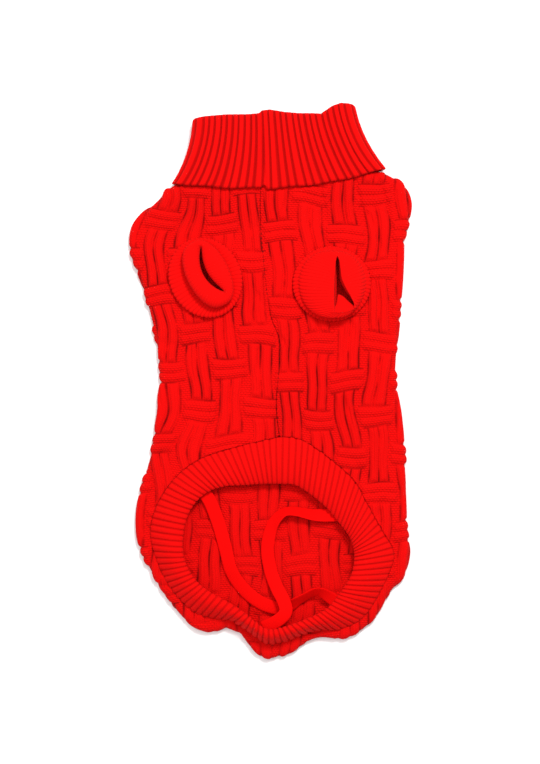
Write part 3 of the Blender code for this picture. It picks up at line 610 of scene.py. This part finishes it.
def triangle_lattice(region, hole_test, pitch, clear):
    """Plan points in rows, each shifted by half a pitch from the last, clear of the region's edges."""
    rows = np.arange(-214, 214, pitch * math.sqrt(0.75))
    x, y = np.meshgrid(np.arange(-110, 110, pitch), rows)
    x[1::2] += pitch / 2
    points = np.column_stack([x.ravel(), y.ravel()])
    points = points[inside(points, region)]
    points = points[~hole_test(points, clear)]
    return points[distance_to(points, region) > clear]


def leg_holes(points, clear=0):
    """Which plan points lie in a leg hole: inside its ellipse, grown by the seam's gap."""
    found = np.zeros(len(points), bool)
    for name, rows in SLEEVE_RINGS.items():
        half_long, half_wide, x, y = rows[0][1:5]
        along, across = turned(points[:, 0] - x, points[:, 1] - y, -SLEEVE_TURN[name])
        grow = SLEEVE_GAP + clear
        found |= (along / (half_long + grow)) ** 2 + (across / (half_wide + grow)) ** 2 < 0.9995
    return found


def no_hole(points, clear=0):
    return np.zeros(len(points), bool)


def fold_ring(edge, normals, angle, wall):
    """A line round the folded edge: a circle's point at an angle from 90 on top to -90 underneath, with
    the relief of the knit that is rolled round it."""
    radius, turn = fold_radius(*edge.T)[:, None], math.radians(angle)
    seat = edge + normals * radius
    outer = fold_radius(*seat.T)
    unrolled = seat - normals * (outer * (math.pi / 2 - turn))[:, None]
    reach = outer - wall
    if wall == 0:
        reach = reach + belly_relief(*unrolled.T) * ease((angle + 75) / 60)
    plan = edge + normals * (radius - reach[:, None] * math.cos(turn))
    height = back_height(*seat.T) + outer + reach * math.sin(turn)
    return np.column_stack([plan, height]), places_of(unrolled)


def make_body(finish):
    """The body's wall: belly layer, folded sides and tail, and back layer, as one closed skin."""
    shell = Shell()
    edge = body_edge()
    normals = left_of(np.gradient(edge, axis=0))
    outer = [fold_ring(edge, normals, angle, 0) for angle in FOLD_ANGLES]
    inner = [fold_ring(edge, normals, angle, WALL) for angle in INNER_FOLD_ANGLES]
    seat = outer[-1][0][:, :2]
    top_ring, low_ring, roof_ring, floor_ring = (
        with_height(seat, height) for height in (belly_top, back_outside, belly_height, back_inside))
    outer[0], outer[-1] = (top_ring, outer[0][1]), (low_ring, outer[-1][1])
    inner[0], inner[-1] = (roof_ring, inner[0][1]), (floor_ring, inner[-1][1])

    # the belly layer's own edge: neck, seam and hem, from the right end of the fold to the left end
    seam = spaced(smooth(BELLY_SEAM), 150)
    seam = seam[(under_flap(*seam.T) < NECK_SEAM_RISE - 1) & (seam[:, 1] > HEM_SECTIONS[0][1] + 1.2)]
    seam = np.vstack([neck_seam(to_collar(*seam[0])[0]), seam])
    hem = hem_outline(0.06, 360)
    foot = np.linalg.norm(hem - (seam[-1][0], HEM_SECTIONS[0][1]), axis=1)
    hem = np.roll(hem, -int(np.argmin(foot)), axis=0)
    half_gap = 0.03 + SEAM_GAP / 2 * np.minimum(seam_open(seam[:, 1]), 1)
    left_seam, right_seam = (seam + np.outer(side * half_gap, (1, 0)) for side in (-1, 1))
    belly_edge = np.vstack([
        seat[-1:], neck_line(seat[-1], right_seam[0], 44), right_seam,
        hem[1:-1], left_seam[::-1], neck_line(left_seam[0], seat[0], 44), seat[:1],
    ])
    region = np.vstack([seat, belly_edge[1:-1]])
    angle = np.linspace(0, 2 * math.pi, 130, endpoint=False)
    holes = [sleeve_ellipse(name, rows[0], angle, SLEEVE_GAP) for name, rows in SLEEVE_RINGS.items()]
    for ring, height, pitch, clear in ((top_ring, belly_top, PANEL_PITCH, 0.7),
                                       (roof_ring, belly_height, PLAIN_PITCH, 2.5)):
        loop = np.vstack([ring, with_height(belly_edge[1:-1], height)])
        fill = triangle_lattice(region, leg_holes, pitch, clear)
        shell.patch(loop, [with_height(hole, height) for hole in holes], fill, height, False, leg_holes)
    for line in [belly_edge] + [np.vstack([hole, hole[:1]]) for hole in holes]:
        shell.wall(with_height(line, belly_top), with_height(line, belly_height), places_of(line))

    # the folded sides and tail
    for rings in (outer, inner):
        for (upper, upper_place), (lower, lower_place) in zip(rings, rings[1:]):
            shell.strip(upper, lower, upper_place, lower_place)

    # the back layer, with its own neck edge, and finer inside where the hem ring shows it
    neck = neck_line(seat[-1], seat[0], 88)
    region = np.vstack([seat, neck])
    opening = hem_outline(-12, 90)
    outside = triangle_lattice(region, no_hole, BACK_PITCH, 1)
    seen = triangle_lattice(region, lambda p, clear: ~inside(p, opening), INSIDE_PITCH, 1)
    unseen = triangle_lattice(region, lambda p, clear: inside(p, opening), PLAIN_PITCH, 2.5)
    for ring, height, fill in ((low_ring, back_outside, outside),
                               (floor_ring, back_inside, np.vstack([seen, unseen]))):
        shell.patch(np.vstack([ring, with_height(neck, height)]), [], fill, height, True, no_hole)
    ends = np.vstack([seat[-1:], neck, seat[:1]])
    shell.wall(with_height(ends, back_inside), with_height(ends, back_outside), places_of(ends, True))

    # end faces of the two folds at the collar seam
    for end in (0, -1):
        outline = np.array([ring[0][end] for ring in outer] + [ring[0][end] for ring in inner][::-1])
        middle = (inner[2][0][end] + outer[5][0][end]) / 2
        count = len(outline)
        fan = np.column_stack([np.full(count, count), np.arange(count), np.roll(np.arange(count), -1)])
        points = np.vstack([outline, middle])
        shell.add(points, fan, points[:, :2])
    return mesh_piece("basket_body", *shell.joined(), "body", finish, "red_knit")


# ---- collar
def collar_ring(depth_of, half_of, bulge, rib, wave=0, fan=0):
    """One closed line of the collar: a flat front and back joined by half circles of radius bulge, each
    point pushed out by the ridge of its rib. fan draws the ribs of the front apart towards the ends."""
    straight = half_of - bulge
    share = np.linspace(1, -1, COLLAR_RIBS * RIB_POINTS, endpoint=False)
    spread = share + fan * share * (np.abs(share) - 1)
    spread = spread + 0.004 * np.sin(share * 31) + 0.003 * np.sin(share * 57 + 1)
    ridge = rib_ridge(np.arange(len(share)) / RIB_POINTS)
    front_rib = rib * (ridge - 0.6 * np.exp(-((spread * straight - COLLAR_SEAM) / 1.1) ** 2))
    bent = np.radians(np.linspace(90, 270, SIDE_RIBS * RIB_POINTS, endpoint=False))
    reach = bulge + rib * 0.6 * rib_ridge(np.arange(len(bent)) / RIB_POINTS)
    across = np.concatenate([straight * spread, -straight + reach * np.cos(bent),
                             -straight * spread, straight - reach * np.cos(bent)])
    lift = np.concatenate([bulge + front_rib, reach * np.sin(bent),
                           -bulge + 0.9 * (rib > 0) * (1 - ridge), -reach * np.sin(bent)])
    if rib > 0:
        lift = np.maximum(lift, -bulge)
    up = depth_of(np.clip(across, -half_of, half_of)) + wave * np.interp(across, *np.array(COLLAR_TOP_WAVE).T)
    x, y = from_collar(across, up)
    return np.column_stack([x, y, np.maximum(COLLAR_MIDDLE + lift, 0.02)])


def make_collar(finish):
    """The collar's wall: rings from the seam up the inner tube, over the fold, down the flap, round its
    lower edge and back up inside."""
    hollow = NECK_HOLLOW / 2
    tube = hollow + WALL
    flap_in = tube + TURN_OVER
    flap_out = flap_in + WALL
    inner_half = COLLAR_TOP_HALF - flap_out + hollow
    fold = WALL + TURN_OVER / 2

    def flap_half(share):
        """Outer half width of the flap at a share of its depth below the fold: a power of the share."""
        return COLLAR_TOP_HALF + (COLLAR_LIP_HALF - COLLAR_TOP_HALF) * share**COLLAR_FLARE

    def at(share, drop=0):
        """A share of the way from the fold to the lower edge, which steps at the collar's own join."""
        def place(across):
            step = 0.8 - 0.8 * np.tanh((across - COLLAR_SEAM) / 1)
            notch = 2 * np.exp(-((across - COLLAR_SEAM + 1) / 1.5) ** 2)
            wander = 0.35 * np.sin(across / 5) + 0.3 * np.sin(across / 11 + 1)
            return share * lip_line(across) + share**4 * (step + notch + wander) - drop
        return place

    def level(up):
        return lambda across: np.full_like(across, up)

    def tube_rings(top_half, seam_half, bulge, shares):
        """Rings of the inner tube, each at a share of the way from the fold down to the seam."""
        return [collar_ring(lambda across, s=s: (s * (lip_line(across) + NECK_SEAM_RISE + SEAM_GAP)
                                                 - (1 - s) * fold),
                            top_half + (seam_half - top_half) * s, bulge, 0, 1 - s) for s in shares]

    keys = tube_rings(inner_half, NECK_HALF - WALL, hollow, (1, 0.75, 0.5, 0.25, 0))
    for turn in np.radians(np.linspace(0, 180, 9)[1:-1]):
        grow = fold * (1 - math.cos(turn))
        keys.append(collar_ring(level(-fold + fold * math.sin(turn)), inner_half + grow, hollow + grow,
                                COLLAR_RIB * ease(turn / math.pi), 1))
    for share in (0.06, 0.12, 0.24, 0.38, 0.52, 0.66, 0.8, 0.91, 0.97):
        puff = 0.5 * math.sin(math.pi * share)
        keys.append(collar_ring(at(share), flap_half(share), flap_out + puff, COLLAR_RIB, (1 - share) ** 2,
                                -LIP_FAN * share))
    for turn in np.radians((30, 90, 150)):
        back = WALL * (1 - math.cos(turn)) / 2
        keys.append(collar_ring(at(1, math.sin(turn) - 0.6), COLLAR_LIP_HALF - back, flap_out - back,
                                COLLAR_RIB * (1 - ease(turn / math.pi)), 0, -LIP_FAN))
    for share in (0.9, 0.5, 0.2):
        keys.append(collar_ring(at(share), flap_half(share) - WALL, flap_in, 0, (1 - share) ** 2))
    keys.append(collar_ring(level(-fold), inner_half + WALL + TURN_OVER, flap_in, 0, 1))
    keys += tube_rings(inner_half + WALL, NECK_HALF, tube, (0, 0.5, 1))
    ribs = np.arange(2 * RIB_POINTS * (COLLAR_RIBS + SIDE_RIBS) + 1) / RIB_POINTS
    return ring_piece("turned_collar", np.array(keys), ribs, "collar", finish)


# ---- hem ring
def make_hem_band(finish):
    """The drawn-in ring: its middle surface climbs from the outer edge to the inner one with an arch, and
    each point is moved out along that surface's normal by half the wall and its rib."""
    around = HEM_RIBS * RIB_POINTS
    sections = loop_through(HEM_SECTIONS, around)
    outer = hem_outline(-0.06, around)
    inner, top = sections[:, 2:4], sections[:, 4]
    inward = unit(inner - outer)
    start = BELLY_FLOOR + WALL / 2
    ribs = np.arange(around + 1) / RIB_POINTS + 0.5
    count = ribs[:-1]
    uneven = 1 + 0.16 * np.sin(np.floor(count) * 2.4) + 0.1 * np.sin(np.floor(count) * 5.1)
    join = 0.5 * np.exp(-((count - 0.5) / 0.12) ** 2)
    ridge = HEM_RIB * (rib_ridge(count) * uneven - join)

    def centre(share):
        height = start + (top - start) * ease(share) ** 0.8 + HEM_ARCH * 4 * share * (1 - share)
        return np.column_stack([outer + (inner - outer) * share, height])

    def offset(share, amount, round_end=0):
        """The middle surface at a share, moved out by an amount, and on past its end."""
        if share == 0:
            return centre(share) + np.outer(amount, (0, 0, 1))
        along = unit(centre(min(share + 0.02, 1)) - centre(share - 0.02))
        normal = np.column_stack([inward * -along[:, 2:], np.linalg.norm(along[:, :2], axis=1)])
        return centre(share) + normal * amount[:, None] + along * round_end

    half = np.full(around, WALL / 2)
    rings = [offset(share, half + ridge * (0.55 + 0.45 * ease(share / 0.12)))
             for share in np.linspace(0, 1, 16)]
    for turn in np.radians((35, 65, 90, 120, 150)):
        rings.append(offset(1, (half + ridge * (0.5 + 0.5 * math.cos(turn))) * math.cos(turn),
                            math.sin(turn) * WALL / 2))
    rings += [offset(share, -half) for share in (1, 0.85, 0.7, 0.55, 0.4, 0.25, 0.1, 0)]
    return ring_piece("hem_ring", np.array(rings), ribs, "hem_band", finish)


# ---- sleeves
def make_sleeve(name, piece_name, finish):
    """A sleeve's wall: each row is a ring with its ribs pushed out, and cubics join the rows."""
    around = SLEEVE_RIBS[name] * SLEEVE_RIB_POINTS
    angle = np.linspace(0, 2 * math.pi, around, endpoint=False)
    ribs = np.arange(around + 1) / SLEEVE_RIB_POINTS
    keys = []
    for row in SLEEVE_RINGS[name]:
        ridge = rib_ridge(ribs[:-1]) * SLEEVE_RIB * row[6]
        keys.append(np.column_stack([sleeve_ellipse(name, row, angle, ridge), row[0] + 0.5 * ridge]))
    rings = smooth(np.array(keys), closed=True, per_span=4)
    return ring_piece(piece_name, rings, ribs, name, finish)


# ---- straps
def make_strap(name, piece_name, finish):
    """A flat elastic: a rounded rectangle, its section, carried along the route and leaned with it."""
    route = smooth(STRAP_ROUTES[name], per_span=9)
    place, lean = route[:, :3], np.radians(route[:, 3:])
    along = unit(np.gradient(place, axis=0))
    flat = unit(np.column_stack([-along[:, 1], along[:, 0], np.zeros(len(along))]))
    wide = flat * np.cos(lean) + np.cross(along, flat) * np.sin(lean)
    thick = np.cross(along, wide)
    turn = np.radians(np.arange(0, 360, 15) + 7.5)
    section_wide, section_thick = (
        size / 2 * np.sign(wave) * np.abs(wave) ** power
        for size, wave, power in ((STRAP_WIDTH, np.cos(turn), 0.45), (STRAP_THICKNESS, np.sin(turn), 0.7)))
    run = run_along(place)[:, None]
    curl = 0.25 * np.sin(run / 23) * ((section_wide / 5) ** 2 - 0.4)
    points = (place[:, None, :] + wide[:, None, :] * section_wide[:, None]
              + thick[:, None, :] * (section_thick + curl)[:, :, None])
    lines, around = points.shape[:2]
    faces = quads_round(lines, around)[:-1].reshape(-1, 4).tolist()
    faces += [list(range(around))[::-1], list(range((lines - 1) * around, lines * around))]
    uv = np.stack(np.broadcast_arrays(section_wide, run), axis=-1).reshape(-1, 2)
    return mesh_piece(piece_name, points.reshape(-1, 3), faces, uv[np.concatenate(faces)], name, finish,
                      "red_elastic")


# ---- finishes
class Sum:
    """A value in a material, with the arithmetic written as Python."""

    def __init__(self, finish, socket):
        self.finish, self.socket = finish, socket

    def math(self, operation, *others):
        return self.finish.value("ShaderNodeMath", {"operation": operation}, self, *others)

    def __add__(self, other): return self.math("ADD", other)
    def __sub__(self, other): return self.math("SUBTRACT", other)
    def __rsub__(self, other): return self.math("MULTIPLY", -1).math("ADD", other)
    def __mul__(self, other): return self.math("MULTIPLY", other)
    def __truediv__(self, other): return self.math("DIVIDE", other)
    def __pow__(self, other): return self.math("POWER", other)
    def __abs__(self): return self.math("ABSOLUTE")
    def most(self, other): return self.math("MAXIMUM", other)
    def sine(self): return self.math("SINE")

    def bell(self, half):
        """1 at zero, falling as e to the minus square of the value over half."""
        return (self / half).math("POWER", 2).math("MULTIPLY", -1).math("EXPONENT")

    def step(self, low, high):
        """Smooth step from 0 at low to 1 at high."""
        return self.finish.value("ShaderNodeMapRange", {"interpolation_type": "SMOOTHSTEP"}, self, low, high)


class Finish:
    """A material and the one way that its nodes are made."""

    def __init__(self, name, roughness=0.92, sheen=0.04, specular=0.06):
        self.material = bpy.data.materials.new(name)
        self.material.use_nodes = True
        self.tree = self.material.node_tree
        self.shader = self.tree.nodes["Principled BSDF"]
        for socket, value in (("Roughness", roughness), ("Sheen Weight", sheen), ("Sheen Roughness", 0.5),
                              ("Sheen Tint", (1, 0.25, 0.2, 1)), ("Specular IOR Level", specular)):
            self.shader.inputs[socket].default_value = value

    def node(self, kind, settings, *values, **named):
        """A node of a type, its settings first, then the values or links of its sockets."""
        node = self.tree.nodes.new(kind)
        for key, value in settings.items():
            setattr(node, key, value)
        for key, value in (*enumerate(values), *named.items()):
            socket = node.inputs[key if isinstance(key, int) else key.replace("_", " ")]
            value = getattr(value, "socket", value)
            if isinstance(value, bpy.types.NodeSocket):
                self.tree.links.new(value, socket)
            elif value is not None:
                socket.default_value = value
        return node

    def value(self, kind, settings, *values, **named):
        return Sum(self, self.node(kind, settings, *values, **named).outputs[0])

    def place(self):
        """The piece's knit place: across and along."""
        uv = self.node("ShaderNodeUVMap", {"uv_map": "knit"})
        apart = self.node("ShaderNodeSeparateXYZ", {}, uv.outputs[0])
        return Sum(self, apart.outputs[0]), Sum(self, apart.outputs[1])

    def noise(self, scale):
        """Noise in object space, with its scale in waves to a metre."""
        where = self.node("ShaderNodeTexCoord", {}).outputs["Object"]
        return self.value("ShaderNodeTexNoise", {}, where, Scale=scale, Roughness=0.6)

    def mix(self, share, first, second):
        """Two colours mixed; a colour is three numbers or a socket."""
        first, second = [(*c, 1) if isinstance(c, tuple) else c for c in (first, second)]
        return self.node("ShaderNodeMix", {"data_type": "RGBA"}, share, *[None] * 5, first, second).outputs[2]

    def tint(self, share):
        """The knit's red, down to a share of it in soft patches."""
        return self.mix(self.noise(22), KNIT_RED, tuple(c * share for c in KNIT_RED))

    def knitted(self, painted_shade, light, height, depth, strength):
        """The material, with the groove red painted as shade over its dark share, and bump over a depth in
        millimetres.
        """
        bumped = self.node("ShaderNodeBump", {}, Strength=strength, Distance=depth * METRES, Height=height)
        self.tree.links.new(self.mix(painted_shade, light, GROOVE_SHADE_RED), self.shader.inputs["Base Color"])
        self.tree.links.new(bumped.outputs["Normal"], self.shader.inputs["Normal"])
        return self.material


def stitches(across, along):
    """Height of plain knit: in each column two legs that lean together to a V, row on row."""
    leg = (across / STITCH_WIDE * 2 * math.pi).math("COSINE") * -0.5 + 0.5
    fold = abs((across / STITCH_WIDE).math("FRACT") - 0.5) * 2
    row = ((along / STITCH_TALL - fold * 0.9) * math.pi).sine()
    return leg ** 0.4 * (abs(row) ** 0.7 * 0.65 + 0.35)


def purls(across, along):
    """Height of purl knit: rows of small rounded bumps, each row shifted by half a stitch."""
    row = (along / STITCH_TALL).math("FLOOR")
    shift = row.math("MODULO", 2) * 0.5
    wave = abs(((across / STITCH_WIDE + shift) * math.pi).sine()) ** 0.7
    rise = abs((along / STITCH_TALL * math.pi).sine()) ** 0.7
    return wave * rise


def basket_finish():
    """Red basket knit: V stitches on the upright ribs, purl bumps elsewhere, and painted shade in the
    grooves.
    """
    f = Finish("red_basket_wool")
    p, q = f.place()
    left = p.math("LESS_THAN", 0)
    run = (abs(p) - COLUMN_START) / COLUMN_PITCH
    column = (run + 0.5).math("FLOOR")
    dx = abs((run - column) * COLUMN_PITCH)
    odd = abs(column).math("MODULO", 2)
    (l0, l1), (r0, r1) = CROSS_START
    start = left * (odd * (l1 - l0) + l0) + (1 - left) * (odd * (r1 - r0) + r0)
    dy = abs((q - start).math("WRAP", BLOCK_PERIOD / 2, -BLOCK_PERIOD / 2))
    upright = dy.step(CROSS_SPAN - 0.1, CROSS_SPAN + 0.5)
    ribs = upright * (1 - dx.step(UPRIGHT_HALF - 0.2, UPRIGHT_HALF + 0.4))
    height = ribs * (stitches(dx - RIB_OFFSET, q) * 0.85 + 0.15) + (1 - ribs) * purls(p, q)
    # masks for painted shade: the column's middle groove, the upright blocks' sides, and the crosswise bands'
    # edges and middle
    groove = upright * dx.bell(0.85)
    groove = groove.most(upright * (dx - UPRIGHT_HALF - 0.4).bell(0.95) * 0.9)
    groove = groove.most((dy - CROSS_SPAN - 0.4).bell(0.7) * (1 - dx.step(11, 13.5)) * 0.7)
    groove = groove.most((1 - upright) * dy.bell(0.5) * (1 - dx.step(11, 13)) * 0.45)
    shade = groove * (f.noise(48) - 0.5).step(-0.2, 0.2) * 1.05
    # painted shade, and a little more in the low parts of the stitches
    painted_shade = shade.most((1 - height) * 0.1)
    return f.knitted(painted_shade, f.tint(0.93), height + f.noise(1400) * 0.25, 0.6, 0.9)


def rib_finish(name, columns, groove_share, depth):
    """Red rib knit: columns of fine stitches on each rib, and painted shade in the narrow groove between
    ribs.
    """
    f = Finish(name)
    count, run = f.place()
    off = abs(count.math("FRACT") - 0.5)
    groove = off.step(0.5 - groove_share, 0.5)
    height = stitches(count * (columns * STITCH_WIDE), run)
    # painted shade: depth of it in the groove, and a little in the low parts of the stitches
    painted_shade = (groove * depth).most((1 - height) * 0.1)
    return f.knitted(painted_shade, f.tint(0.94), height + f.noise(1500) * 0.3, 0.3, 0.6)


def elastic_finish():
    """Red flat elastic: fine cords along it, finely crossed."""
    f = Finish("red_leg_elastic", roughness=0.85, sheen=0, specular=0.05)
    across, along = f.place()
    cords = abs((across * math.pi / 1.1).sine())
    cross = (along * 2 * math.pi / 0.9).sine() * 0.5 + 0.5
    height = cords * 0.7 + cross * 0.3
    # painted shade in the low parts between the cords and their crossings
    return f.knitted((1 - height) * 0.25, STRAP_RED, height + f.noise(1500) * 0.3, 0.15, 0.6)


# ---- studio
def floor_piece():
    """A pale floor, wide enough for every view."""
    mesh = bpy.data.meshes.new("studio_floor")
    mesh.from_pydata([(-3, -3, 0), (3, -3, 0), (3, 3, 0), (-3, 3, 0)], [], [(0, 1, 2, 3)])
    paint = Finish("pale_floor", roughness=0.9, sheen=0, specular=0.1)
    paint.shader.inputs["Base Color"].default_value = (0.86, 0.86, 0.86, 1)
    mesh.materials.append(paint.material)
    placed("studio_floor", mesh)


def lamp(name, place, size, power):
    """A square soft light that looks at the middle of the sweater."""
    light = bpy.data.lights.new(name, "AREA")
    light.shape, light.size, light.energy = "SQUARE", size, power
    item = placed(name, light)
    item.location = place
    item.rotation_euler = (-Vector(place)).to_track_quat("-Z", "Y").to_euler()


def studio():
    floor_piece()
    lamp("key_light", (0.35, 0.85, 1.45), 0.4, 27)
    lamp("top_light", (-0.3, 0.2, 1.9), 1.2, 14)
    lamp("fill_light", (-1.2, -0.7, 1.1), 1.2, 2.2)
    world = bpy.data.worlds.new("studio_air")
    world.use_nodes = True
    air = world.node_tree.nodes["Background"].inputs
    air["Color"].default_value, air["Strength"].default_value = (1, 1, 1, 1), 0.6
    bpy.context.scene.world = world
    bpy.context.scene.view_settings.view_transform = "Standard"
    eye = bpy.data.cameras.new("camera")
    eye.lens, eye.sensor_fit, eye.sensor_width = 100, "AUTO", 36
    camera = placed("camera", eye)
    camera.location = (0, 0, 1.62)
    bpy.context.scene.camera = camera


def main():
    studio()
    body = make_body(basket_finish())
    collar = make_collar(rib_finish("red_collar_rib", 2, 0.36, 0.62))
    hem = make_hem_band(rib_finish("red_hem_rib", 2, 0.28, 0.34))
    left = make_sleeve("sleeve_left", "left_leg_sleeve", rib_finish("red_left_sleeve_rib", 1, 0.2, 0.2))
    right = make_sleeve("sleeve_right", "right_leg_sleeve", rib_finish("red_right_sleeve_rib", 1, 0.2, 0.2))
    elastic = elastic_finish()
    strap_left = make_strap("strap_left", "left_leg_strap", elastic)
    strap_right = make_strap("strap_right", "right_leg_strap", elastic)


main()
